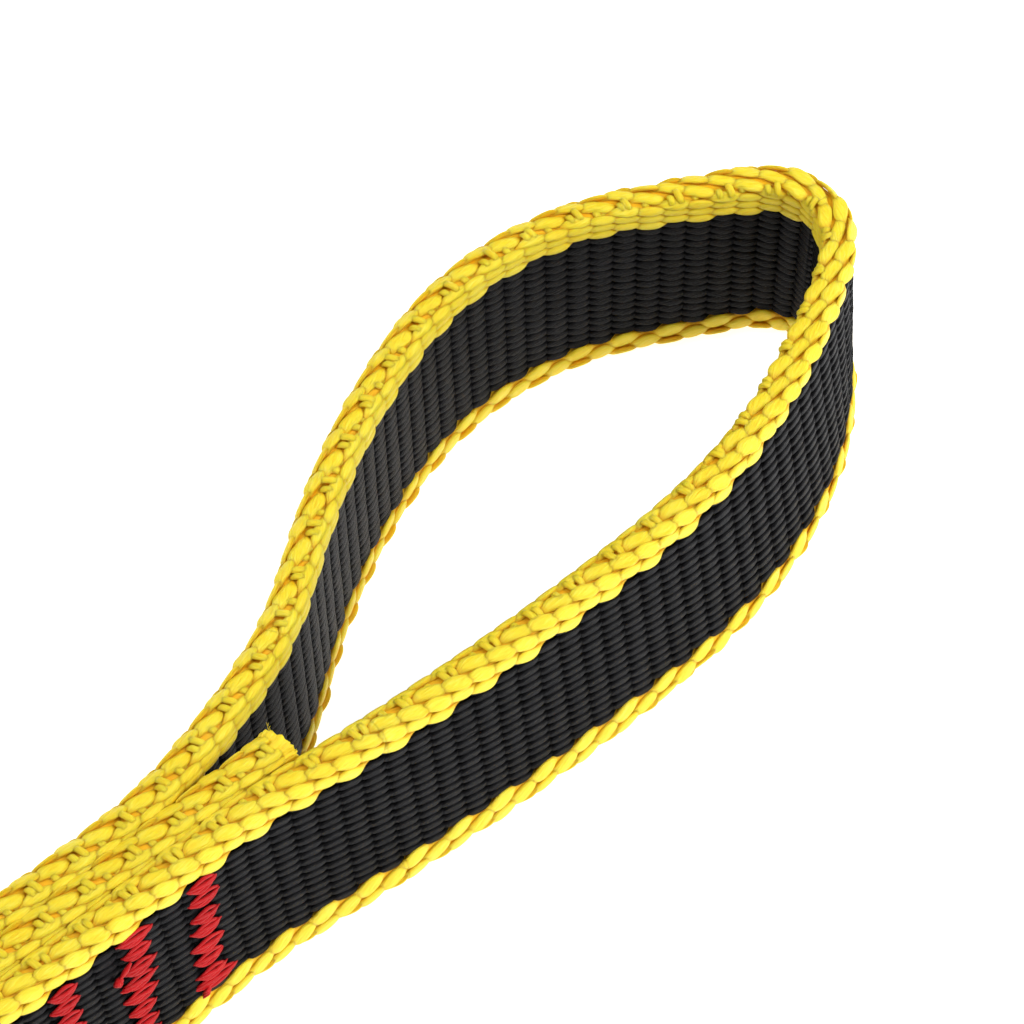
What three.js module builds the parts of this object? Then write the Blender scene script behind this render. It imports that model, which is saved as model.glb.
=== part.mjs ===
// Hand loop of a tow rope, sewn from one length of flat webbing.
//
// The webbing is folded into three plies that lie face to face and are joined by rows of bar
// tacks. Starting at the sealed end inside the hand loop it runs along the middle of the stem,
// turns round the tow eye, comes back as the front ply, goes round the hand loop and returns as
// the back ply, whose sealed end lies beside the tow eye.
//
// Millimetres. +X runs along the stem towards the hand loop, +Y towards the back ply and +Z
// across the webbing, which stands on its lower edge at z = 0. The origin is under the middle
// ply, between the fourth and fifth tacks from the hand loop.
import * as THREE from 'three';

// ---- driving dimensions ----
const STRAP_WIDTH = 25;
const WEB_THICKNESS = 2.8;
const EDGE_THICKNESS = 3.2;
const EDGE_HEIGHT = 2.75;
const EDGE_ROUND = 1;
const GAP = 0.3;
const PLY_PITCH = 3.7;

const TACK_COUNT = 8;
const TACK_PITCH = 8.75;
const FIRST_TACK_X = 28.4;
const TACK_WIDTH = 3.2;
const TACK_THICKNESS = 0.5;
const TACK_TEETH = 8;
const TACK_NOTCH = 0.7;

const SEAL_LENGTH = 1.4;
const MIDDLE_PLY_END_X = 43.4;
const BACK_PLY_END_X = -34.6;

// The loop and the eye each turn about a vertical axis where they leave the stem. Every strap
// end there lies on a circle round that axis, so the two sides slide past each other.
const HAND_HINGE = { x: 33, y: 0, radius: 12 };
const TOW_HINGE = { x: -38, y: -PLY_PITCH / 2, radius: 6 };
const HINGE_GAP = 0.4;

// Stretches of strap as [length, turn in degrees], each tangent to the one before.
const FRONT_PLY_END_X = 35.5;
const HAND_LOOP_OUTWARD = [
  [4.5, -8], [45.5, 8], [14, 8], [17.5, 16], [14, 15], // near side
  [17, 107],                                           // apex
  [14, 8], [29.5, 43], [27, 19],                       // far side, bowed outwards
];
const HAND_LOOP_RETURN = [36, -36];                    // back down onto the stem
const TOW_EYE_START_X = -36;
const TOW_EYE_SPREAD = [8, 18];
const TOW_EYE_SIDE = 12;

const STEP_TURN = 5;     // largest turn in one chord along a strap, degrees
const ROUND_STEPS = 2;   // chords in the rounding of an edge

const YELLOW = { color: 0xf4d22c, roughness: 0.72, metalness: 0 };
const BLACK = { color: 0x26262a, roughness: 0.7, metalness: 0 };
const RED = { color: 0xc41a22, roughness: 0.6, metalness: 0 };

const rad = (degrees) => degrees * Math.PI / 180;
const group = new THREE.Group();
group.name = 'webbing_hand_loop';

function addMesh(name, geometry, finish) {
  const mesh = new THREE.Mesh(geometry, new THREE.MeshStandardMaterial(finish));
  mesh.name = name;
  group.add(mesh);
}

// ---- centrelines ----

// Stations {x, y, heading} along a chain of tangent arcs.
function walk(x, y, headingDegrees, arcs) {
  let heading = rad(headingDegrees);
  const stations = [{ x, y, heading }];
  for (const [length, turn] of arcs) {
    const count = Math.max(1, Math.ceil(Math.abs(turn) / STEP_TURN));
    const turnStep = rad(turn) / count;
    const half = turnStep / 2;
    const chord = (length / count) * (half === 0 ? 1 : Math.sin(half) / half);
    for (let i = 0; i < count; i += 1) {
      x += chord * Math.cos(heading + half);
      y += chord * Math.sin(heading + half);
      heading += turnStep;
      stations.push({ x, y, heading });
    }
  }
  return stations;
}

const last = (list) => list[list.length - 1];
const reach = (hinge, p) => Math.hypot(p.x - hinge.x, p.y - hinge.y);
const insideOf = (hinge) => (p) => reach(hinge, p) < hinge.radius;
const outsideOf = (hinge) => (p) => reach(hinge, p) > hinge.radius;

// The hand loop leaves the front ply and comes back onto the back ply. A short straight in the
// far side makes up whatever the arcs leave over.
function handLoopCentreline() {
  const out = walk(TOW_EYE_START_X, -PLY_PITCH, 0,
    [[FRONT_PLY_END_X - TOW_EYE_START_X, 0], ...HAND_LOOP_OUTWARD]);
  const far = last(out);
  const [length, turn] = HAND_LOOP_RETURN;
  const radius = length / rad(-turn);
  const drop = radius * (1 - Math.cos(rad(turn)));
  const straight = (far.y - drop - PLY_PITCH) / Math.sin(rad(-turn));
  const home = walk(far.x, far.y, 180 - turn, [[straight, 0], HAND_LOOP_RETURN]);
  const back = walk(last(home).x, PLY_PITCH, 180, [[last(home).x - BACK_PLY_END_X, 0]]);
  return [...out, ...home.slice(1), ...back.slice(1)];
}

// The tow eye is a teardrop, the same on both sides of the line between its two plies.
function towEyeCentreline() {
  const [length, turn] = TOW_EYE_SPREAD;
  const angle = rad(turn);
  const spread = PLY_PITCH / 2 + (length / angle) * (1 - Math.cos(angle))
    + TOW_EYE_SIDE * Math.sin(angle);
  const roundRadius = spread / Math.cos(angle);
  const roundTurn = 180 + 2 * turn;
  return walk(TOW_EYE_START_X, -PLY_PITCH, 180, [
    TOW_EYE_SPREAD, [TOW_EYE_SIDE, 0],
    [roundRadius * rad(roundTurn), -roundTurn],
    [TOW_EYE_SIDE, 0], TOW_EYE_SPREAD,
  ]);
}

const handLoopLine = handLoopCentreline();
const towEyeLine = towEyeCentreline();
const middleLine = walk(MIDDLE_PLY_END_X, 0, 180, [[MIDDLE_PLY_END_X - TOW_EYE_START_X, 0]]);
const firstOutside = handLoopLine.findIndex((p) => p.x > HAND_HINGE.x && outsideOf(HAND_HINGE)(p));
const lastOutside = handLoopLine.findLastIndex((p) => p.x > HAND_HINGE.x && outsideOf(HAND_HINGE)(p));
const firstEye = towEyeLine.findIndex(outsideOf(TOW_HINGE));
const lastEye = towEyeLine.findLastIndex(outsideOf(TOW_HINGE));

// ---- strap solids ----

// Where the line through a point, along a heading, meets a circle round a hinge. Of the two
// crossings the one nearer the point is wanted.
function onCircle(x, y, heading, hinge, radius) {
  const dx = x - hinge.x;
  const dy = y - hinge.y;
  const along = dx * Math.cos(heading) + dy * Math.sin(heading);
  const root = Math.sqrt(along * along - (dx * dx + dy * dy - radius * radius));
  const travel = Math.abs(root - along) < Math.abs(-root - along) ? root - along : -root - along;
  return [x + travel * Math.cos(heading), y + travel * Math.sin(heading)];
}

// Sweeps a closed profile of [offset, z] points along the stations. An end can be cut to a
// circle round a hinge, given as {hinge, radius}.
function sweep(stations, profile, startCut, endCut) {
  const positions = [];
  stations.forEach((p, i) => {
    const cut = i === 0 ? startCut : (i === stations.length - 1 ? endCut : undefined);
    for (const [offset, z] of profile) {
      let x = p.x - offset * Math.sin(p.heading);
      let y = p.y + offset * Math.cos(p.heading);
      if (cut) [x, y] = onCircle(x, y, p.heading, cut.hinge, cut.radius);
      positions.push(x, y, z);
    }
  });
  const n = profile.length;
  const index = [];
  for (let i = 0; i + 1 < stations.length; i += 1) {
    for (let j = 0; j < n; j += 1) {
      const a = i * n + j;
      const b = i * n + (j + 1) % n;
      index.push(a, b, b + n, a, b + n, a + n);
    }
  }
  const endRing = (stations.length - 1) * n;
  for (let j = 1; j + 1 < n; j += 1) {
    index.push(0, j + 1, j);
    index.push(endRing, endRing + j, endRing + j + 1);
  }
  const geometry = new THREE.BufferGeometry();
  geometry.setAttribute('position', new THREE.Float32BufferAttribute(positions, 3));
  geometry.setIndex(index);
  geometry.computeVertexNormals();
  return geometry;
}

// Cross-sections of the black web and of the two rounded edges, as [offset to the left, z].
const webLow = EDGE_HEIGHT + GAP / 2;
const webHigh = STRAP_WIDTH - webLow;
const WEB_PROFILE = [
  [-WEB_THICKNESS / 2, webLow], [WEB_THICKNESS / 2, webLow],
  [WEB_THICKNESS / 2, webHigh], [-WEB_THICKNESS / 2, webHigh],
];

function edgeProfile(upper) {
  const half = EDGE_THICKNESS / 2;
  const points = [[-half, EDGE_HEIGHT - GAP / 2], [half, EDGE_HEIGHT - GAP / 2]];
  for (const side of [1, -1]) {
    for (let i = 0; i <= ROUND_STEPS; i += 1) {
      const angle = rad(90 / ROUND_STEPS * (side > 0 ? i : ROUND_STEPS - i));
      points.push([
        side * (half - EDGE_ROUND + EDGE_ROUND * Math.cos(angle)),
        EDGE_ROUND - EDGE_ROUND * Math.sin(angle),
      ]);
    }
  }
  return upper ? points.map(([offset, z]) => [offset, STRAP_WIDTH - z]) : points.reverse();
}

function addStrap(name, stations, startCut, endCut) {
  addMesh(`${name}_web`, sweep(stations, WEB_PROFILE, startCut, endCut), BLACK);
  addMesh(`${name}_upper_edge`, sweep(stations, edgeProfile(true), startCut, endCut), YELLOW);
  addMesh(`${name}_lower_edge`, sweep(stations, edgeProfile(false), startCut, endCut), YELLOW);
}

const stemSide = (hinge) => ({ hinge, radius: hinge.radius - HINGE_GAP / 2 });
const loopSide = (hinge) => ({ hinge, radius: hinge.radius + HINGE_GAP / 2 + 0.1 });

// Front ply, from the tow hinge to the hand hinge.
const towArm = towEyeLine.slice(1, firstEye).reverse()
  .map((p) => ({ ...p, heading: p.heading - Math.PI }));
addStrap('front_ply', [...towArm, ...handLoopLine.slice(0, firstOutside)],
  stemSide(TOW_HINGE), stemSide(HAND_HINGE));
// Back ply, from the hand hinge to its sealed end.
addStrap('back_ply', handLoopLine.slice(lastOutside + 1), stemSide(HAND_HINGE));
// Middle ply, from its sealed end to the tow hinge.
const returnArm = towEyeLine.slice(lastEye + 1, -1).reverse()
  .map((p) => ({ ...p, heading: p.heading + Math.PI }));
addStrap('middle_ply', [...middleLine, ...returnArm], undefined, stemSide(TOW_HINGE));

addStrap('hand_loop', handLoopLine.slice(firstOutside, lastOutside + 1),
  loopSide(HAND_HINGE), loopSide(HAND_HINGE));
addStrap('tow_eye', towEyeLine.slice(firstEye, lastEye + 1),
  loopSide(TOW_HINGE), loopSide(TOW_HINGE));

// ---- sealed ends ----

// A melted bead across the full width of a cut ply.
function addSeal(name, x, y, direction) {
  const half = EDGE_THICKNESS / 2;
  const shape = new THREE.Shape();
  shape.moveTo(0, -half);
  shape.lineTo(SEAL_LENGTH - 0.8, -half);
  shape.quadraticCurveTo(SEAL_LENGTH, -half, SEAL_LENGTH, 0);
  shape.quadraticCurveTo(SEAL_LENGTH, half, SEAL_LENGTH - 0.8, half);
  shape.lineTo(0, half);
  const geometry = new THREE.ExtrudeGeometry(shape, {
    depth: STRAP_WIDTH, bevelEnabled: false, curveSegments: 5,
  });
  if (direction < 0) geometry.rotateZ(Math.PI);
  geometry.translate(x + direction * GAP, y, 0);
  addMesh(name, geometry, YELLOW);
}

addSeal('middle_ply_sealed_end', MIDDLE_PLY_END_X, 0, 1);
addSeal('back_ply_sealed_end', BACK_PLY_END_X, PLY_PITCH, -1);

// ---- bar tacks ----

// One face of a bar tack: a zigzag of thread up the black web, with its stitches leaning.
function tackGeometry() {
  const pitch = (webHigh - webLow) / TACK_TEETH;
  const half = TACK_WIDTH / 2;
  const right = [];
  const left = [];
  for (let i = 0; i < TACK_TEETH; i += 1) {
    const z = webLow + i * pitch;
    right.push([half - TACK_NOTCH, z], [half, z + 0.6 * pitch], [half, z + 0.9 * pitch]);
    left.push([-half, z + 0.1 * pitch], [-half, z + 0.4 * pitch], [TACK_NOTCH - half, z + pitch]);
  }
  const outline = [...right, ...left.reverse()].map(([x, z]) => new THREE.Vector2(x, z));
  const geometry = new THREE.ExtrudeGeometry(new THREE.Shape(outline), {
    depth: TACK_THICKNESS, bevelEnabled: false,
  });
  geometry.rotateX(Math.PI / 2);
  return geometry;
}

// The thread stands on the outer faces of the front and back plies. The back ply has begun to
// bend away under the tack nearest the hand loop, and that tack follows it.
const faceGap = PLY_PITCH + WEB_THICKNESS / 2 + GAP;
for (let i = 0; i < TACK_COUNT; i += 1) {
  const x = FIRST_TACK_X - i * TACK_PITCH;
  const backLine = handLoopLine.slice(lastOutside + 1);
  const next = backLine.findIndex((p) => p.x < x);
  const [a, b] = [backLine[next - 1], backLine[next]];
  const backY = a.y + (b.y - a.y) * (a.x - x) / (a.x - b.x);
  const tilt = Math.atan2(a.y - b.y, a.x - b.x);
  const front = tackGeometry();
  front.translate(x, -faceGap, 0);
  addMesh(`bar_tack_${i + 1}_front`, front, RED);
  const back = tackGeometry();
  back.translate(0, TACK_THICKNESS + WEB_THICKNESS / 2 + GAP, 0);
  back.rotateZ(tilt);
  back.translate(x, backY, 0);
  addMesh(`bar_tack_${i + 1}_back`, back, RED);
}

export default group;
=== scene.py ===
"""Sewn webbing hand loop of a tow rope handle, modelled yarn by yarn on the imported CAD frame.

Lengths in the tables and functions below are millimetres; meshes are written in metres.
"""

import math

import bpy
import numpy as np
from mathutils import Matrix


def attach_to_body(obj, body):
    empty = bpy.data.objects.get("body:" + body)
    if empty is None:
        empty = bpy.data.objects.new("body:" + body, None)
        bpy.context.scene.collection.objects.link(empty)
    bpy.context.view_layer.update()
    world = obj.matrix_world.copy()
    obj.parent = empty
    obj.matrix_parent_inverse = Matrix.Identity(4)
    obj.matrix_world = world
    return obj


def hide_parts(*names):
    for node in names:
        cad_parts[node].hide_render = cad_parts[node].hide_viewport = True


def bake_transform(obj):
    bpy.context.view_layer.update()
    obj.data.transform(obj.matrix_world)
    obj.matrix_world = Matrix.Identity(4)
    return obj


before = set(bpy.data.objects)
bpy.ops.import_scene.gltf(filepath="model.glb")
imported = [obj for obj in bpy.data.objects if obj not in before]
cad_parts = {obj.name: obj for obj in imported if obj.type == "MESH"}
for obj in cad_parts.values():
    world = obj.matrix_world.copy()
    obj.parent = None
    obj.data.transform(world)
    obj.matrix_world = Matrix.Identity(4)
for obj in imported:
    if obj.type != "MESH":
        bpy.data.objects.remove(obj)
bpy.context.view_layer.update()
rng = np.random.default_rng(7)
MM = 0.001

# ---- strap, as in the CAD ----
WIDTH = 25.0
THICKNESS = 3.2
PLY_PITCH = 3.7                 # from the middle of one ply to the middle of the next
EDGE = 2.9                      # height of the yellow part of a face
PICK = 2.81                     # distance between weft picks
MIDDLE_END_X = 43.4
BACK_END_X = -34.6
TOW_START_X = -36.0
FRONT_END_X = 35.5
# Arcs are (length, degrees turned to the left): the hand loop from the end of the front ply on,
# its last curve back onto the stem, and the size of the curve that leaves the stem at the eye.
LOOP_ARCS = [(4.5, -8), (45.5, 8), (14, 8), (17.5, 16), (14, 15),
             (17, 107), (14, 8), (29.5, 43), (27, 19)]
LOOP_RETURN = (36, -36)
TOW_SPREAD = (8, 18)
TOW_SIDE = 12.0                 # each straight side of the tow eye
TACKS = 8
TACK_PITCH = 8.75
FIRST_TACK_X = 28.4


def walk(x, y, heading, arcs, step=0.2):
    """Points [x, y] along a chain of tangent arcs, starting after the first point."""
    points = []
    heading = math.radians(heading)
    for length, turn in arcs:
        n = max(1, round(length / step))
        dh = math.radians(turn) / n
        for _ in range(n):
            x += length / n * math.cos(heading + dh / 2)
            y += length / n * math.sin(heading + dh / 2)
            heading += dh
            points.append((x, y))
    return points, x, y


def centreline():
    """The whole strap in plan, from the sealed end in the loop's throat to the other one, and
    the number of the point where the tow eye is left."""
    points = [(MIDDLE_END_X, 0.0)]
    part, x, y = walk(MIDDLE_END_X, 0, 180, [(MIDDLE_END_X - TOW_START_X, 0)])
    points += part
    length, turn = TOW_SPREAD
    a = math.radians(turn)
    spread = PLY_PITCH / 2 + length / a * (1 - math.cos(a)) + TOW_SIDE * math.sin(a)
    round_length = spread / math.cos(a) * math.radians(180 + 2 * turn)
    part, x, y = walk(x, y, 180, [(length, -turn), (TOW_SIDE, 0), (round_length, 180 + 2 * turn),
                                  (TOW_SIDE, 0), (length, -turn)])
    points += part
    eye_end = len(points)
    part, x, y = walk(TOW_START_X, -PLY_PITCH, 0, [(FRONT_END_X - TOW_START_X, 0), *LOOP_ARCS])
    points += part
    length, turn = LOOP_RETURN
    a = math.radians(-turn)
    drop = length / a * (1 - math.cos(a))
    straight = (y - drop - PLY_PITCH) / math.sin(a)
    part, x, y = walk(x, y, 180 - turn, [(straight, 0), LOOP_RETURN])
    points += part
    part, x, y = walk(x, PLY_PITCH, 180, [(x - BACK_END_X, 0)])
    return np.array(points + part), eye_end


def smooth(values, sigma):
    """Gaussian smoothing that keeps the straight ends straight."""
    n = int(3 * sigma)
    kernel = np.exp(-0.5 * (np.arange(-n, n + 1) / sigma) ** 2)
    kernel /= kernel.sum()
    first = 2 * values[:1] - values[n:0:-1]
    final = 2 * values[-1:] - values[-2:-n - 2:-1]
    return np.convolve(np.concatenate([first, values, final]), kernel, "valid")


PLAN, EYE_END = centreline()

# Where the real loop bulges off the CAD's line, at the apex and in the throat, as (first point
# that may move, centre, reach, push at the centre).
BULGES = [(EYE_END + 600, (132, 14), 9, (1.1, 0.4)),
          (EYE_END + 600, (127, 32), 9, (-0.2, -0.25)),
          (-1200, (41, 8), 10, (-0.1, 0.6)),
          (-1200, (58, 17), 8, (-0.12, 0.18))]
for first, centre, reach, push in BULGES:
    distance = np.linalg.norm(PLAN[first:] - np.array(centre), axis=1)
    PLAN[first:] += np.exp(-(distance / reach) ** 2)[:, None] * np.array(push)

PLAN = np.stack([smooth(PLAN[:, 0], 10), smooth(PLAN[:, 1], 10)], 1)
ALONG = np.concatenate([[0], np.cumsum(np.linalg.norm(np.diff(PLAN, axis=0), axis=1))])
HEADING = np.unwrap(np.arctan2(np.gradient(PLAN[:, 1]), np.gradient(PLAN[:, 0])))
LENGTH = ALONG[-1]
EYE_U = ALONG[EYE_END]
SEEN_U = EYE_U + 40.1           # on the front ply, at the edge of the photographed part
LOOP_U = 279.5                  # from there round the hand loop to the back ply

# How far the strap leans out of the vertical, in degrees to the left of its own direction.
LEAN = [(0, -6.3), (75, -6.3), (110, 0), (148, 6.3), (SEEN_U, 6.3)]
LEAN += [(SEEN_U + LOOP_U * t, lean) for t, lean in
         ((0.15, 7.2), (0.3, 9.2), (0.42, 9.7), (0.5, -2.6), (0.53, -1.0), (0.56, -1.0),
          (0.59, -2.4), (0.64, -2.7), (0.68, -1.3), (0.75, -0.9), (0.79, -0.7), (0.84, -2.6),
          (1.0, -6.3))]
LEAN += [(LENGTH, -6.3)]
LEAN_U = np.radians(smooth(np.interp(ALONG, *zip(*LEAN)), 30))


def roll(u, upper):
    """How far a yellow edge is pulled over towards the inside of the loop's tight bend."""
    centre, reach, most = (126, 30, 1.3) if upper else (108, 22, 1.1)
    return most * np.exp(-((u - SEEN_U - centre) / reach) ** 4)


def place(u, off, z):
    """Metres in the part's frame for a distance u along the strap (which runs on straight past
    its ends), off to the right of it and up z."""
    h = np.interp(u, ALONG, HEADING)
    past = np.minimum(u, 0) + np.maximum(u - LENGTH, 0)
    x = np.interp(u, ALONG, PLAN[:, 0]) + past * np.cos(h)
    y = np.interp(u, ALONG, PLAN[:, 1]) + past * np.sin(h)
    lean = np.interp(u, ALONG, LEAN_U)
    rx, ry = np.sin(h), -np.cos(h)
    up = z - WIDTH / 2
    side = off * np.cos(lean) - up * np.sin(lean)
    middle = WIDTH / 2 * np.cos(lean) + THICKNESS / 2 * np.abs(np.sin(lean))
    height = middle + off * np.sin(lean) + up * np.cos(lean)
    return np.stack([x + rx * side, y + ry * side, height], -1) * MM


# ---- mesh helpers ----
# Yarns are tubes, kept as rings [tube, step, side, xyz]. Beside them goes their fibre array:
# length along the yarn, share of the way round it, a number from 0 to 1 for the yarn, and how
# far the point stands out of the pits of the weave, which sets its painted light: 1 on the tops,
# less in the pits and on undersides, where the material paints shade.

def tubes(rings):
    """Vertices and quads of closed tubes."""
    n, k, m, _ = rings.shape
    i = np.arange(n)[:, None, None] * k * m
    j = np.arange(k - 1)[None, :, None] * m
    s = np.arange(m)[None, None, :]
    s2 = (s + 1) % m
    quads = np.stack([i + j + s, i + j + s2, i + j + m + s2, i + j + m + s], -1).reshape(-1, 4)
    faces = [quads]
    base = np.arange(n)[:, None] * k * m
    for start, order in ((0, -1), ((k - 1) * m, 1)):
        for c in range(1, m - 2, 2):
            cap = np.array([0, c, c + 1, c + 2][::order])
            faces.append(base + start + cap[None, :])
    return rings.reshape(-1, 3), np.concatenate(faces)


def join(parts):
    """One set of vertices, quads and fibre rows from several (rings, fibre) pairs."""
    verts, quads, fibres = [], [], []
    start = 0
    for rings, fibre in parts:
        v, q = tubes(rings)
        verts.append(v)
        quads.append(q + start)
        fibres.append(fibre.reshape(-1, 4))
        start += len(v)
    return np.concatenate(verts), np.concatenate(quads), np.concatenate(fibres)


def make(name, parts, material):
    """A piece from (rings, fibre) pairs, with the attributes that its material reads."""
    verts, quads, fibre = join(parts)
    mesh = bpy.data.meshes.new(name)
    mesh.vertices.add(len(verts))
    mesh.vertices.foreach_set("co", verts.astype(np.float32).ravel())
    mesh.loops.add(quads.size)
    mesh.loops.foreach_set("vertex_index", quads.astype(np.int32).ravel())
    mesh.polygons.add(len(quads))
    mesh.polygons.foreach_set("loop_start", np.arange(0, quads.size, 4, dtype=np.int32))
    mesh.polygons.foreach_set("use_smooth", np.ones(len(quads), bool))
    mesh.update(calc_edges=True)
    mesh.validate()
    layer = mesh.attributes.new("fibre", "FLOAT_VECTOR", "POINT")
    layer.data.foreach_set("vector", fibre[:, :3].astype(np.float32).ravel())
    layer = mesh.attributes.new("painted_light", "FLOAT", "POINT")
    layer.data.foreach_set("value", fibre[:, 3].astype(np.float32))
    mesh.materials.append(material)
    obj = bpy.data.objects.new(name, mesh)
    bpy.context.scene.collection.objects.link(obj)
    return obj


# ---- warp ends ----
FLOAT_EDGE = 1.7                # how abruptly an end rises to the surface and leaves it
FLOAT_BIAS = 0.38               # how much longer it is up than down


def scatter(number, seed, a, b, c):
    """A repeatable value from -0.5 to 0.5 for each float of each end."""
    value = np.sin(number * a + seed * b) * c
    return value - np.floor(value) - 0.5


class Ends:
    """Warp ends lying just under a surface. Each comes up to it for a pick and a bit, then dips
    under its neighbours for the rest of two picks, drifting sideways as it does. One side of an
    end is tilted up, so that neighbours lap over each other like shingles."""

    def __init__(self, ground, square):
        self.ground = ground
        self.square = square
        self.rows = []

    def add(self, spot, phase, half_width, half_depth, dip, drift, seed, lens, tilt):
        self.rows.append((*spot, phase, half_width, half_depth, dip, drift, seed, lens, tilt))

    def rings(self, u0, u1, steps, sides):
        """All ends from u0 to u1, with so many steps to a pick and sides to a ring."""
        a, b, phase, hw, hd, dip, drift, seed, lens, tilt = (c[:, None]
                                                            for c in np.array(self.rows).T)
        count = max(2, round((u1 - u0) / PICK * steps)) + 1
        u = np.linspace(u0, u1, count)[None, :]
        off, z, nn, nz = self.ground(a, b, u)
        tn, tz = -nz, nn
        float_no = np.floor(u / PICK / 2 + phase / 2 + 0.25)
        swell = scatter(float_no, seed, 12.9898, 78.233, 43758.5453)
        sway = scatter(float_no, seed, 39.425, 17.17, 24634.6345)
        theta = np.pi * (u / PICK + phase)
        wave = np.sin(theta)
        up = np.tanh(FLOAT_EDGE * (wave + FLOAT_BIAS)) / math.tanh(FLOAT_EDGE * (1 + FLOAT_BIAS))
        shown = np.clip((up + 1) / 2, 0, 1)
        inward = hd + dip * (1 - up) - 0.10 * dip * swell * shown
        side = -drift * np.cos(theta) + 0.12 * hw * sway * shown
        co = off - nn * inward + tn * side
        cz = z - nz * inward + tz * side
        peak = np.clip((wave + 0.62) / 1.62, 0, 1)
        width = hw * (0.30 + 0.70 * peak ** (0.45 * lens)) * (1 + 0.12 * swell * shown)
        angle = np.arange(sides) * 2 * np.pi / sides
        ca, sa = np.cos(angle), np.sin(angle)
        across = width[:, :, None] * np.sign(ca) * np.abs(ca) ** self.square
        out = (hd[:, :, None] * np.sign(sa) * np.abs(sa) ** 0.9
               + (tilt * (1 + 0.5 * swell) * shown)[:, :, None] * across)
        po = co[:, :, None] + tn[:, :, None] * across + nn[:, :, None] * out
        pz = cz[:, :, None] + tz[:, :, None] * across + nz[:, :, None] * out
        uu = np.broadcast_to(u[:, :, None], po.shape)
        # Painted light: full on the tops of the floats, less where an end dives under and on its
        # underside, where painted shade goes.
        painted_light = (peak ** 0.8)[:, :, None] * (0.30 + 0.70 * np.maximum(sa, 0))
        fibre = np.stack([uu, np.broadcast_to(angle / (2 * np.pi), po.shape),
                          np.broadcast_to(seed[:, :, None] % 97 / 97, po.shape), painted_light], -1)
        return place(uu, po, pz), fibre


BLACK_ENDS = 32
FACE = THICKNESS / 2 + 0.1      # how far the tops of the black floats are from the centreline
CORE_STEP = 1.4


def black_ground(side, z, u):
    """Where a black end of one face lies; the outer face's ends spread over the tight bend."""
    share = (z - EDGE) / (WIDTH - 2 * EDGE)
    z = z + side * (share * roll(u, True) - (1 - share) * roll(u, False))
    return side * FACE + 0 * u, z, side + 0 * u, 0 * (side + u)


def black_ends():
    ends = Ends(black_ground, 0.55)
    pitch = (WIDTH - 2 * EDGE) / BLACK_ENDS
    for side in (1, -1):
        for i in range(BLACK_ENDS):
            ends.add((side, EDGE + pitch * (i + 0.5)), phase=(i + (side < 0)) % 2,
                     half_width=pitch * 1.18, half_depth=0.22, dip=0.40, drift=-0.20,
                     seed=977 * i + side, lens=3.0, tilt=0.12)
    return ends


def black_core(u0, u1):
    """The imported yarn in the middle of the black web, which lets no light through."""
    count = max(2, round((u1 - u0) / CORE_STEP)) + 1
    u = np.linspace(u0, u1, count)[:, None]
    share = np.array([0, 0.25, 0.5, 0.75, 1, 1, 0.75, 0.5, 0.25, 0])[None, :]
    z = EDGE - 0.4 + share * (WIDTH - 2 * EDGE + 0.8) + 0 * u
    off = np.repeat([0.95, -0.95], 5)[None, :] + 0 * u
    # The core is given almost no painted light, so it is painted in deep shade.
    fibre = np.stack([u + 0 * z, share + 0 * z, 0.5 + 0 * z, 0.02 + 0 * z], -1)
    return place(u + 0 * z, off, z)[None], fibre


# A yellow edge is a fatter roll than the black web beside it; the lower one is the deeper.
EDGE_HALF = 2.0
EDGE_TOP = {True: -0.15, False: -0.6}   # top of the upper edge, and bottom of the lower one, as
                                        # a depth inside the CAD's edge; minus is outside it
CORNER = 1.15


def edge_round(upper):
    """The distance round a yellow edge, from the outer face's black to the inner face's."""
    return (2 * (EDGE - EDGE_TOP[upper] - CORNER) + math.pi * CORNER
            + 2 * (EDGE_HALF - CORNER))


def edge_point(q, upper):
    """Point (off, depth from the edge) and outward normal at a distance q round a yellow edge,
    counted from the outer face's boundary with the black."""
    top = EDGE_TOP[upper]
    flat = EDGE - top - CORNER
    arc = math.pi / 2 * CORNER
    mirror = q > edge_round(upper) / 2
    if mirror:
        q = edge_round(upper) - q
    if q < flat:
        off, depth, nn, nz = EDGE_HALF, EDGE - q, 1, 0
    elif q < flat + arc:
        a = (q - flat) / CORNER
        nn, nz = math.cos(a), -math.sin(a)
        off, depth = EDGE_HALF - CORNER + CORNER * nn, top + CORNER + CORNER * nz
    else:
        off, depth, nn, nz = EDGE_HALF - CORNER - (q - flat - arc), top, 0, -1
    return (-off, depth, -nn, nz) if mirror else (off, depth, nn, nz)


ROUND_AT = np.linspace(-1, 13, 1401)
ROUND = {upper: np.array([edge_point(q, upper) for q in ROUND_AT]) for upper in (True, False)}


def edge_ground(upper):
    """The surface of an edge as (off, z, normal) at distances q round it and u along it."""
    def ground(q, _, u):
        q = q + roll(u, upper)
        off, depth, nn, nz = (np.interp(q, ROUND_AT, column) for column in ROUND[upper].T)
        return (off, WIDTH - depth, nn, -nz) if upper else (off, depth, nn, nz)
    return ground


# Where each yellow end comes out round the edge, its half width, half depth and lens shape. The
# knitted side of the upper edge is made of ends as fine as the black ones.
OUTER_ENDS = [(0.35, 0.96, 0.26, 2.2), (1.40, 0.94, 0.26, 2.2), (2.40, 0.92, 0.28, 2.1),
              (3.30, 0.84, 0.30, 2.0), (4.30, 0.92, 0.36, 1.4)]
PLAIN_ENDS = [(6.25, 0.98, 0.34, 1.9), (7.40, 0.96, 0.32, 2.0), (8.50, 0.98, 0.30, 2.0)]
KNITTED_ENDS = [(5.75, 0.66, 0.36, 1.7), (6.40, 0.58, 0.32, 1.8), (6.98, 0.56, 0.28, 1.8),
                (7.56, 0.56, 0.28, 1.8), (8.13, 0.56, 0.28, 1.8), (8.70, 0.60, 0.28, 1.8)]


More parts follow.
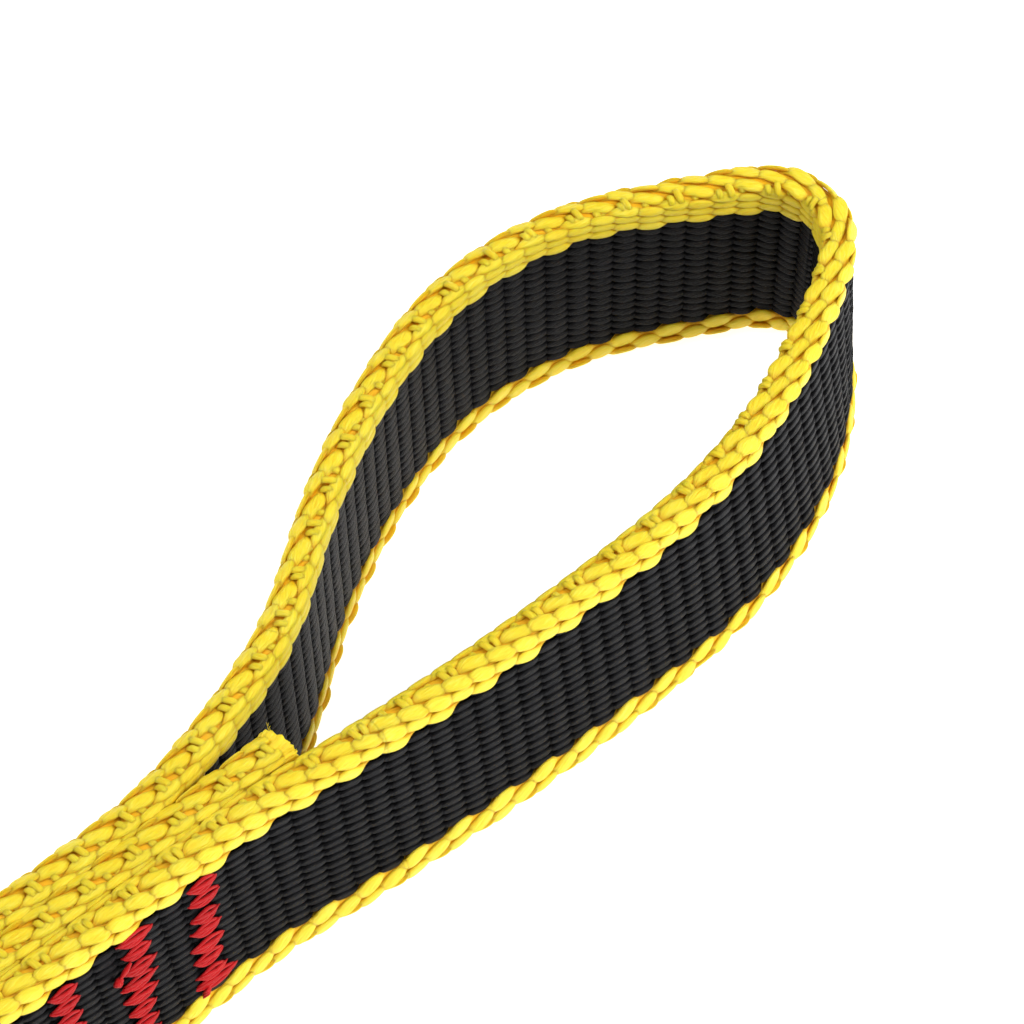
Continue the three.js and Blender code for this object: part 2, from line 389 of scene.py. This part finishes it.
def yellow_ends(upper):
    ends = Ends(edge_ground(upper), 0.62)
    fit = edge_round(upper) / edge_round(True)
    way = -1 if upper else 1
    for i, (q, hw, hd, lens) in enumerate(OUTER_ENDS + (KNITTED_ENDS if upper else PLAIN_ENDS)):
        drift, dip, tilt = (0.30, 0.30, 0.09) if i < len(OUTER_ENDS) else (0.10, 0.26, 0.05)
        ends.add((q * fit, 0), phase=(i + 1) % 2, half_width=hw * fit, half_depth=hd, dip=dip,
                 drift=way * drift, seed=31 * i + upper, lens=lens, tilt=tilt * -way)
    return ends


def edge_core(upper, u0, u1):
    """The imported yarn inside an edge, which fills the pits between its floats."""
    count = max(2, round((u1 - u0) / CORE_STEP)) + 1
    u = np.linspace(u0, u1, count)[:, None]
    q = np.linspace(0.2, edge_round(upper) - 0.2, 14)[None, :]
    off, z, nn, nz = edge_ground(upper)(q, 0, u)
    depth = 0.52
    # The core is given little painted light, so it is painted in the orange pit shade.
    fibre = np.stack([u + 0 * q, q / edge_round(upper) + 0 * u, 0.5 + 0 * off, 0.08 + 0 * off], -1)
    return place(u + 0 * q, off - depth * nn, z - depth * nz)[None], fibre


# The two bars of a hoop of weft: place round the edge and reach there, place along the strap,
# slant, and rise out of the edge on an even pick and on an odd one.
BARS = [(4.75, 1.15, -0.55, -0.22, (1.00, 0.30)), (5.05, 0.85, 0.42, -0.12, (0.92, 0.55))]


def weft(upper, u0, u1):
    """The weft where it turns round an edge: hoops that lie under the yellow ends and come up
    between the large floats along the top, a pair of bright bars to two picks."""
    q = np.linspace(0.9, edge_round(upper) - 0.9, 21)
    sides = 8
    angle = np.arange(sides) * 2 * np.pi / sides
    rings, fibres = [], []
    for k in range(math.ceil(u0 / PICK - 0.5), math.floor(u1 / PICK - 0.5) + 1):
        for centre, reach, shift, slant, rises in BARS:
            proud = np.exp(-((q - centre - 0.10 * rng.normal()) / reach) ** 4)
            u = (k + 0.5) * PICK + shift + 0.12 * rng.normal()
            rise = rises[k % 2] + 0.07 * rng.normal()
            skew = slant * (q - 5.0) * proud
            off, z, nn, nz = edge_ground(upper)(q, 0, u)
            depth = 0.98 - rise * proud
            a = 0.40 * np.cos(angle)[None, :] * (0.75 + 0.30 * proud[:, None]) + skew[:, None]
            b = 0.32 * np.sin(angle)[None, :] - depth[:, None]
            rings.append(place(u + a, off[:, None] + nn[:, None] * b, z[:, None] + nz[:, None] * b))
            # Painted shade on the hoops where they lie under the ends, and on the undersides of the
            # bars.
            painted_light = (0.45 + 0.55 * np.maximum(np.sin(angle), 0)) * proud[:, None]
            fibres.append(np.stack([np.broadcast_to(q[:, None], a.shape),
                                    np.broadcast_to(angle / (2 * np.pi), a.shape),
                                    np.full(a.shape, k % 13 / 13), painted_light], -1))
    return np.array(rings), np.array(fibres)


# ---- threads ----

def thread(points, radius, flat=0.62, sides=8):
    """A thread through points given as [u, off, z], flattened against the face."""
    points = np.array(points)
    angle = np.arange(sides) * 2 * np.pi / sides
    way = np.gradient(points, axis=0)
    way /= np.linalg.norm(way, axis=1)[:, None]
    across = np.cross(way, np.array([0.0, 1.0, 0.0]))
    across /= np.linalg.norm(across, axis=1)[:, None]
    up = np.cross(across, way)
    taper = np.sin(np.linspace(0.12, 1, len(points)) * np.pi / 2)
    r = radius * np.minimum(taper, taper[::-1]) ** 0.6
    ring = (points[:, None, :] + across[:, None, :] * (r[:, None] * np.cos(angle))[..., None]
            + up[:, None, :] * (flat * r[:, None] * np.sin(angle))[..., None])
    length = np.arange(len(points)) * 0.3
    shape = ring.shape[:2]
    # Painted shade on the side of a thread that lies against the strap.
    fibre = np.stack([np.broadcast_to(length[:, None], shape),
                      np.broadcast_to(angle / (2 * np.pi), shape),
                      np.full(shape, rng.random()),
                      np.broadcast_to(0.35 + 0.65 * np.maximum(np.sin(angle), 0), shape)], -1)
    return place(ring[..., 0], ring[..., 1], ring[..., 2]), fibre


def bundle(threads):
    """Threads of the same number of points as one (rings, fibre) pair."""
    return np.array([rings for rings, _ in threads]), np.array([fibre for _, fibre in threads])


def through(knots, count=13):
    """A smooth line of points [u, off, z] through a few knots."""
    knots = np.array(knots, float)
    t = np.linspace(0, len(knots) - 1, count)
    line = np.stack([np.interp(t, range(len(knots)), c) for c in knots.T], 1)
    return np.stack([np.convolve(np.pad(c, 1, "edge"), (0.25, 0.5, 0.25), "valid")
                     for c in line.T], 1)


# ---- materials ----
TWIST = 0.045                   # turns that the filaments make round an end, per millimetre
YARN_APART = 41.0               # over what distance in the noise the yarns are spread
STREAK_STRETCH = 0.12           # how slowly the streaks change along a yarn
PATCH_SCALE = 160               # patches of lighter and darker yarn, per metre
PATCH_SHARE = 0.35


def material(name):
    m = bpy.data.materials.new(name)
    m.use_nodes = True
    return m, m.node_tree, m.node_tree.nodes["Principled BSDF"]


def maths(tree, operation, *values):
    """The output of a maths node; each value is a number or another node's output."""
    n = tree.nodes.new("ShaderNodeMath")
    n.operation = operation
    for socket, value in zip(n.inputs, values):
        if isinstance(value, bpy.types.NodeSocket):
            tree.links.new(value, socket)
        else:
            socket.default_value = value
    return n.outputs[0]


def noise(tree, vector, scale, detail):
    n = tree.nodes.new("ShaderNodeTexNoise")
    n.inputs["Scale"].default_value = scale
    n.inputs["Detail"].default_value = detail
    tree.links.new(vector, n.inputs["Vector"])
    return n.outputs["Fac"]


def ramp(tree, value, first, middle, last):
    """A ramp through three (position, colour) stops."""
    n = tree.nodes.new("ShaderNodeValToRGB")
    stops = n.color_ramp.elements
    for stop, (position, colour) in ((stops[0], first), (stops[1], last)):
        stop.position = position
        stop.color = (*colour, 1)
    stops.new(middle[0]).color = (*middle[1], 1)
    tree.links.new(value, n.inputs[0])
    return n.outputs[0]


def yarn_material(name, dark, mid, light, pit_shade, rough, specular, bump, fibres=26):
    """Filament yarn: streaks along each end, a colour that drifts from end to end, soft gloss,
    and painted shade: where the yarn lies down in the pits of the weave or on its underside, its
    colour is multiplied by a shade colour (for the yellow an orange that paints the light bounced
    round the pits)."""
    m, tree, bsdf = material(name)
    link = tree.links.new
    fibre = tree.nodes.new("ShaderNodeAttribute")
    fibre.attribute_name = "fibre"
    parts = tree.nodes.new("ShaderNodeSeparateXYZ")
    link(fibre.outputs["Vector"], parts.inputs[0])
    along, turn, yarn = parts.outputs
    turn = maths(tree, "ADD", turn, maths(tree, "MULTIPLY", along, TWIST))
    angle = maths(tree, "MULTIPLY", turn, 2 * math.pi)
    far = maths(tree, "MULTIPLY_ADD", yarn, YARN_APART,
                maths(tree, "MULTIPLY", along, STREAK_STRETCH))
    vector = tree.nodes.new("ShaderNodeCombineXYZ")
    link(maths(tree, "COSINE", angle), vector.inputs[0])
    link(maths(tree, "SINE", angle), vector.inputs[1])
    link(far, vector.inputs[2])
    streak = noise(tree, vector.outputs[0], fibres / 4, 3)
    coords = tree.nodes.new("ShaderNodeTexCoord")
    patch = noise(tree, coords.outputs["Object"], PATCH_SCALE, 2)
    mix = maths(tree, "MULTIPLY_ADD", patch, PATCH_SHARE,
                maths(tree, "MULTIPLY", streak, 1 - PATCH_SHARE))
    colour = ramp(tree, mix, (0.30, dark), (0.5, mid), (0.70, light))
    painted_light = tree.nodes.new("ShaderNodeAttribute")
    painted_light.attribute_name = "painted_light"
    # Painted shade: the colour is multiplied by the shade colour where the point lies low in the
    # weave, fading to none on the tops.
    half_pit_shade = [(1 + p) / 2 for p in pit_shade]
    pit_shade_tint = ramp(tree, painted_light.outputs["Fac"], (0, pit_shade), (0.2, half_pit_shade), (0.55, (1, 1, 1)))
    product = tree.nodes.new("ShaderNodeMix")
    product.data_type = "RGBA"
    product.blend_type = "MULTIPLY"
    product.inputs[0].default_value = 1
    link(colour, product.inputs[6])
    link(pit_shade_tint, product.inputs[7])
    link(product.outputs[2], bsdf.inputs["Base Color"])
    gloss = tree.nodes.new("ShaderNodeMapRange")
    gloss.inputs["To Min"].default_value = rough - 0.1
    gloss.inputs["To Max"].default_value = rough + 0.1
    link(streak, gloss.inputs["Value"])
    link(gloss.outputs[0], bsdf.inputs["Roughness"])
    bumps = tree.nodes.new("ShaderNodeBump")
    bumps.inputs["Strength"].default_value = bump
    bumps.inputs["Distance"].default_value = 0.18 * MM
    link(streak, bumps.inputs["Height"])
    link(bumps.outputs[0], bsdf.inputs["Normal"])
    bsdf.inputs["Specular IOR Level"].default_value = specular
    return m


# The last colour of each yarn is its painted shade for the pits and undersides; the yellow's orange
# paints light bounced round the pits.
YELLOW = yarn_material("yellow_yarn", dark=(0.90, 0.56, 0.010), mid=(0.97, 0.69, 0.028),
                       light=(0.99, 0.775, 0.09), pit_shade=(0.98, 0.60, 0.06),
                       rough=0.48, specular=0.30, bump=1.0)
soft = YELLOW.node_tree.nodes["Principled BSDF"]
soft.inputs["Subsurface Weight"].default_value = 0.45
soft.inputs["Subsurface Scale"].default_value = 1.3 * MM
soft.inputs["Subsurface Radius"].default_value = (1.0, 0.7, 0.1)
BLACK = yarn_material("black_yarn", dark=(0.0015, 0.0015, 0.002), mid=(0.0035, 0.0035, 0.0045),
                      light=(0.010, 0.010, 0.012), pit_shade=(0.10, 0.10, 0.10),
                      rough=0.46, specular=0.085, bump=0.9)
RED = yarn_material("red_thread", dark=(0.34, 0.001, 0.003), mid=(0.48, 0.003, 0.005),
                    light=(0.60, 0.008, 0.010), pit_shade=(0.35, 0.25, 0.25),
                    rough=0.45, specular=0.15, bump=0.7, fibres=18)

# ---- webbing ----
STEM_REACH = 80                 # a little more than the longest ply of the stem
SPLIT_X = -12.0                 # where the stem's plies pass from hand pieces to tow pieces
LOOP_X = 52.0                   # where the hand loop's pieces begin, past the bend
OVERLAP = 0.02                  # how far each piece runs under the next


def at_x(x, low, high):
    """Distance along the strap, between low and high, where it is nearest to x."""
    inside = (ALONG >= low) & (ALONG <= high)
    return float(ALONG[inside][np.argmin(np.abs(PLAN[inside, 0] - x))])


u_mid = at_x(SPLIT_X, 0, STEM_REACH)
u_front = at_x(SPLIT_X, EYE_U, EYE_U + STEM_REACH)
u_apex = EYE_U + FRONT_END_X - TOW_START_X + 104
u_near = at_x(LOOP_X, EYE_U, u_apex)
u_far = at_x(LOOP_X, u_apex, LENGTH)
# Each piece of strap, from one distance to another, how it moves, and whose CAD nodes it stands
# for. The two halves of the loop are separate to keep each mesh small.
PIECES = [
    ("middle_ply", 0.0, u_mid, "hand", "middle_ply"),
    ("tow_eye", u_mid, u_front, "tow", "tow_eye"),
    ("front_ply", u_front, u_near, "hand", "front_ply"),
    ("loop_near_side", u_near, u_apex, "loop", "hand_loop"),
    ("loop_far_side", u_apex, u_far, "loop", None),
    ("back_ply", u_far, LENGTH, "hand", "back_ply"),
]


def attach(obj, how):
    if how == "hand":
        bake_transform(obj)
    elif how == "tow":
        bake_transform(obj)
    elif how == "stem":
        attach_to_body(obj, "stem")
    else:
        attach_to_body(obj, "hand_loop")


def stray_fibres():
    """Two broken filaments lying on the black of the near side, their u counted from x = 0."""
    start = at_x(0, EYE_U, EYE_U + STEM_REACH)
    lines = [[(61.0, 1.75, 16.4), (62.0, 2.05, 16.9), (63.0, 2.0, 16.5), (63.6, 1.8, 17.0)],
             [(50.6, 1.75, 7.0), (51.0, 2.0, 7.5), (51.7, 1.9, 7.3)]]
    return bundle([thread(through([(start + u, off, z) for u, off, z in line]), 0.055, 1.0, 6)
                   for line in lines])


black = black_ends()
yellow = {True: yellow_ends(True), False: yellow_ends(False)}
for name, u0, u1, how, node in PIECES:
    u1 += 0 if u1 == LENGTH else OVERLAP
    strays = [stray_fibres()] if name == "loop_near_side" else []
    web = make(f"{name}_black_web", [black.rings(u0, u1, 6, 6), black_core(u0, u1), *strays],
               BLACK)
    attach(web, how)
    if node:
        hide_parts(f"{node}_web")
    for upper, word in ((True, "upper"), (False, "lower")):
        edge = make(f"{name}_{word}_yellow_edge",
                    [yellow[upper].rings(u0, u1, 10, 10), weft(upper, u0, u1),
                     edge_core(upper, u0, u1)], YELLOW)
        attach(edge, how)
        if node:
            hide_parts(f"{node}_{word}_edge")

# ---- bar tacks ----
RUNGS = 8
RUNG_PITCH = (WIDTH - 2 * EDGE - 0.3) / RUNGS
# How far each strand of a rung bows up or down at the rung's left and right end.
STRANDS = [(-0.85, -0.35), (-0.55, 0.45), (0.0, 0.1), (0.40, -0.30), (0.55, 0.95)]


def bar_tack(u_tack, slope, wide_end):
    """Satin rungs up the black of a face: strands fanned from a left tip to a right one."""
    strands = []
    for k in range(RUNGS):
        z0 = EDGE + 0.3 + RUNG_PITCH * (k + 0.5) + 0.12 * rng.normal()
        middle = u_tack + slope * (z0 - WIDTH / 2) + 0.08 * rng.normal()
        half = 1.95 + 0.15 * rng.normal()
        if wide_end and k == 0:
            half, middle, z0 = 2.7, middle + 0.5, z0 + 0.5
        for j, (bow_left, bow_right) in enumerate(STRANDS):
            t = np.linspace(-1, 1, 15)
            bow = bow_left + (bow_right - bow_left) * (t + 1) / 2
            fan = (1 - np.abs(t) ** 2.2) * bow * 1.25
            z = z0 + fan - 0.28 * t + 0.05 * rng.normal()
            u = middle + t * (half - 0.3 * abs(bow_left + bow_right) / 2 + 0.10 * rng.normal())
            lift = 0.34 * (1 - t ** 4) - 0.14 + 0.05 * (j % 2) + 0.06 * (k % 2)
            strands.append(thread(np.stack([u, FACE - 0.05 + lift, z], -1), 0.36))
    return bundle(strands)


def thread_tail(u_tack):
    """The start of a tack's thread: a tail from the bar's left side down to a small knot."""
    tail = [(u_tack - 0.4, FACE + 0.30, 18.0), (u_tack - 1.3, FACE + 0.50, 17.7),
            (u_tack - 2.2, FACE + 0.45, 16.9)]
    knot = [(u_tack - 2.3 + 0.30 * math.cos(a), FACE + 0.45 + 0.10 * math.sin(3 * a),
             16.6 + 0.30 * math.sin(a)) for a in np.linspace(0, 6, 14)]
    return [bundle([thread(through(tail), 0.48)]), bundle([thread(knot, 0.52, 0.8)])]


def lost_stitch(u_tack):
    """A stitch of the first tack that shows again beside the lower yellow edge."""
    return [bundle([thread(through([(u_tack - 2.4 + 0.1 * j, FACE + 0.1, 3.2 + 0.40 * j),
                                    (u_tack - 1.8, FACE + 0.42, 3.8 + 0.35 * j),
                                    (u_tack - 1.1, FACE + 0.1, 4.3 + 0.25 * j)]), 0.30)])
            for j in range(3)]


HAND_BEND_X = 24                # tacks beyond this move with the bend beside the hand loop
EXTRAS = {("front", 0): lost_stitch, ("front", 1): thread_tail}
for i in range(TACKS):
    x = FIRST_TACK_X - i * TACK_PITCH
    for face, low, high, slope in (("front", EYE_U, EYE_U + STEM_REACH, 0.10),
                                   ("back", LENGTH - STEM_REACH, LENGTH, -0.10)):
        u = at_x(x, low, high)
        extra = EXTRAS[face, i](u) if (face, i) in EXTRAS else []
        tack = make(f"bar_tack_{i + 1}_{face}_thread",
                    [bar_tack(u, slope, face == "front" and i == 0), *extra], RED)
        attach(tack, "hand" if x > HAND_BEND_X else "stem")
        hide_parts(f"bar_tack_{i + 1}_{face}")

# ---- sealed ends ----
# A sealed end ring by ring, from behind the cut out to its rim and in to its middle: distance
# past the cut, how far it stands out, how much of its width is gone, how creased it is, and its
# painted light (low values paint shade behind the cut and in the middle).
SEALED = [(-1.3, -0.35, 0.0, 0.0, 0.1), (-0.8, -0.05, 0.0, 0.2, 0.3), (-0.3, 0.06, 0.0, 0.6, 0.6),
          (0.2, 0.16, 0.0, 0.9, 1), (0.7, 0.30, 0.0, 1.0, 1), (1.1, 0.40, 0.02, 0.8, 1),
          (1.2, 0.25, 0.22, 0.6, 0.5), (1.0, 0.1, 0.55, 0.4, 0.2), (0.9, 0.0, 0.93, 0.1, 0.1)]
FLARE_SIDES = 96


def flare(u_end, way, z0, z1, half, skew):
    """The cut end of one colour's part: yarn tips melted together, pinched, then fanned out and
    cut a little askew, with creases running out to the rim."""
    t = np.arange(FLARE_SIDES) / FLARE_SIDES * 2 * np.pi
    c, s = np.cos(t), np.sin(t)
    cu, cz = np.sign(c) * np.abs(c) ** 0.7, np.sign(s) * np.abs(s) ** 0.7
    height = (z1 - z0) / 2
    fold = np.abs(np.sin(6.5 * t + 0.4 * np.sin(3 * t + z0))) - 0.6
    ragged = 0.16 * np.sin(17 * t + 0.3) + 0.10 * np.sin(29 * t)
    rings, fibres = [], []
    for k, (du, out, gone, creased, painted_light) in enumerate(SEALED):
        lump = creased * (0.36 * fold + 0.10 * np.sin(23 * t + 1.9))
        off = cu * ((half + out + lump) * (1 - gone))
        z = (z0 + z1) / 2 + cz * ((min(height, half) + out * 0.75 + lump) * (1 - gone)
                                  + max(height - half, 0))
        rounded = 0.315 * max(du, 0) * (cu * (1 - gone)) ** 2
        u = u_end + way * (du - rounded + way * skew * cu * (1 - gone) * (du > 0)
                           + ragged * creased ** 3)
        rings.append(place(u, off, z))
        # Painted shade, deepened in the valleys of the creases.
        shade = painted_light * (1 - 0.75 * (fold < -0.35) * creased)
        fibres.append(np.stack([np.full(FLARE_SIDES, 0.35 * k), 3 * t / (2 * np.pi),
                                np.full(FLARE_SIDES, 0.3), shade], -1))
    return np.array(rings)[None], np.array(fibres)[None]


def fuzz(u_end, way, z0, z1, half, count, longest):
    """Short loose fibres standing out round a cut end."""
    fibres = []
    for _ in range(count):
        z = z0 + (z1 - z0) * rng.random()
        off = half * (2 * rng.random() - 1)
        if rng.random() < 0.5:
            off = half * (1 if rng.random() < 0.5 else -1)
        up = 0.0
        if z > WIDTH - 0.8:
            up = 1.0
        elif z < 0.8:
            up = -0.3
        aim = np.array([way * (0.5 + 0.6 * rng.random()),
                        0.9 * off / half + 0.5 * rng.normal(), up + 0.45 * rng.normal()])
        aim /= np.linalg.norm(aim)
        size = longest * (0.35 + 0.65 * rng.random())
        bend = rng.normal(size=3) * 0.25
        t = np.linspace(0, 1, 5)[:, None]
        line = np.array([u_end + way, off * 0.92, z]) + aim * size * t + bend * size * t * t
        fibres.append(thread(line, 0.06, 1.0, 4))
    return bundle(fibres)


def cut_end(name, u_end, way, how, skew):
    """The three parts of a cut end; the black one stands for the CAD's sealed end."""
    for word, z0, z1, yarn, count in (("lower", 0.3, EDGE, YELLOW, 20),
                                      ("black", EDGE, WIDTH - EDGE, BLACK, 60),
                                      ("upper", WIDTH - EDGE, WIDTH - 0.2, YELLOW, 30)):
        half = (FACE if word == "black" else EDGE_HALF) - 0.15
        end = make(f"{name}_sealed_{word}",
                   [flare(u_end, way, z0, z1, half, skew),
                    fuzz(u_end, way, z0, z1, half + 0.4, count, 0.45)], yarn)
        attach(end, how)
        if word == "black":
            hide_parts(f"{name}_sealed_end")


cut_end("middle_ply", 0.0, -1, "hand", 0.45)
cut_end("back_ply", LENGTH, 1, "stem", 0.0)

# ---- floor, light and camera ----
CAMERA_TURN = math.radians(-42.17)
CAMERA_TILT = math.radians(56.8)
CAMERA_RANGE = 441.4
SENSOR = 36
CAMERA_LENS = 3984 / 1024 * SENSOR      # from its focal length in pixels of a 1024 wide image
# The camera looks along +Y at the middle of its own plan. This is one point of the front ply,
# in that plan and in the part's frame.
POINT_IN_VIEW = (-49.52, -73.96)
POINT_IN_PART = (4.1, -PLY_PITCH)

dx = -POINT_IN_VIEW[0]
dy = -CAMERA_RANGE * math.cos(CAMERA_TILT) - POINT_IN_VIEW[1]
camera_x = POINT_IN_PART[0] + dx * math.cos(CAMERA_TURN) - dy * math.sin(CAMERA_TURN)
camera_y = POINT_IN_PART[1] + dx * math.sin(CAMERA_TURN) + dy * math.cos(CAMERA_TURN)
camera = bpy.data.objects.new("camera", bpy.data.cameras.new("camera"))
camera.data.lens = CAMERA_LENS
camera.data.sensor_width = SENSOR
camera.data.clip_start = 0.01
camera.location = (camera_x * MM, camera_y * MM, CAMERA_RANGE * math.sin(CAMERA_TILT) * MM)
camera.rotation_euler = (math.pi / 2 - CAMERA_TILT, 0, CAMERA_TURN)
bpy.context.scene.collection.objects.link(camera)
bpy.context.scene.camera = camera
bpy.context.scene.view_settings.view_transform = "Standard"

FLOOR_HALF = 3
FLOOR_Z = -0.0007               # the fattest floats of the lower edge sink into it a little
floor_mesh = bpy.data.meshes.new("floor")
floor_mesh.from_pydata([(x * FLOOR_HALF, y * FLOOR_HALF, 0)
                        for x, y in ((-1, -1), (1, -1), (1, 1), (-1, 1))], [], [(0, 1, 2, 3)])
floor = bpy.data.objects.new("floor", floor_mesh)
floor.location.z = FLOOR_Z
bpy.context.scene.collection.objects.link(floor)
floor_material, _, floor_bsdf = material("pale_floor")
floor_bsdf.inputs["Base Color"].default_value = (0.92, 0.92, 0.92, 1)
floor_bsdf.inputs["Roughness"].default_value = 0.9
floor_bsdf.inputs["Emission Color"].default_value = (1, 1, 1, 1)
floor_bsdf.inputs["Emission Strength"].default_value = 0.85
floor_mesh.materials.append(floor_material)

world = bpy.data.worlds.new("studio")
bpy.context.scene.world = world
world.use_nodes = True
sky = world.node_tree.nodes["Background"]
sky.inputs["Color"].default_value = (1, 1, 1, 1)
sky.inputs["Strength"].default_value = 0.42


def area(name, location, target, size, power):
    """A round area light that faces its target, in metres and watts."""
    light = bpy.data.lights.new(name, "AREA")
    light.shape = "DISK"
    light.size = size
    light.energy = power
    obj = bpy.data.objects.new(name, light)
    obj.location = location
    d = np.array(target) - np.array(location)
    obj.rotation_euler = (math.acos(-d[2] / np.linalg.norm(d)), 0,
                          math.atan2(d[1], d[0]) - math.pi / 2)
    bpy.context.scene.collection.objects.link(obj)


area("key", (0.38, -0.42, 0.50), (0.06, 0, 0), 0.45, 4.6)
area("top", (-0.25, 0.35, 0.75), (0.05, 0, 0), 0.5, 3.0)
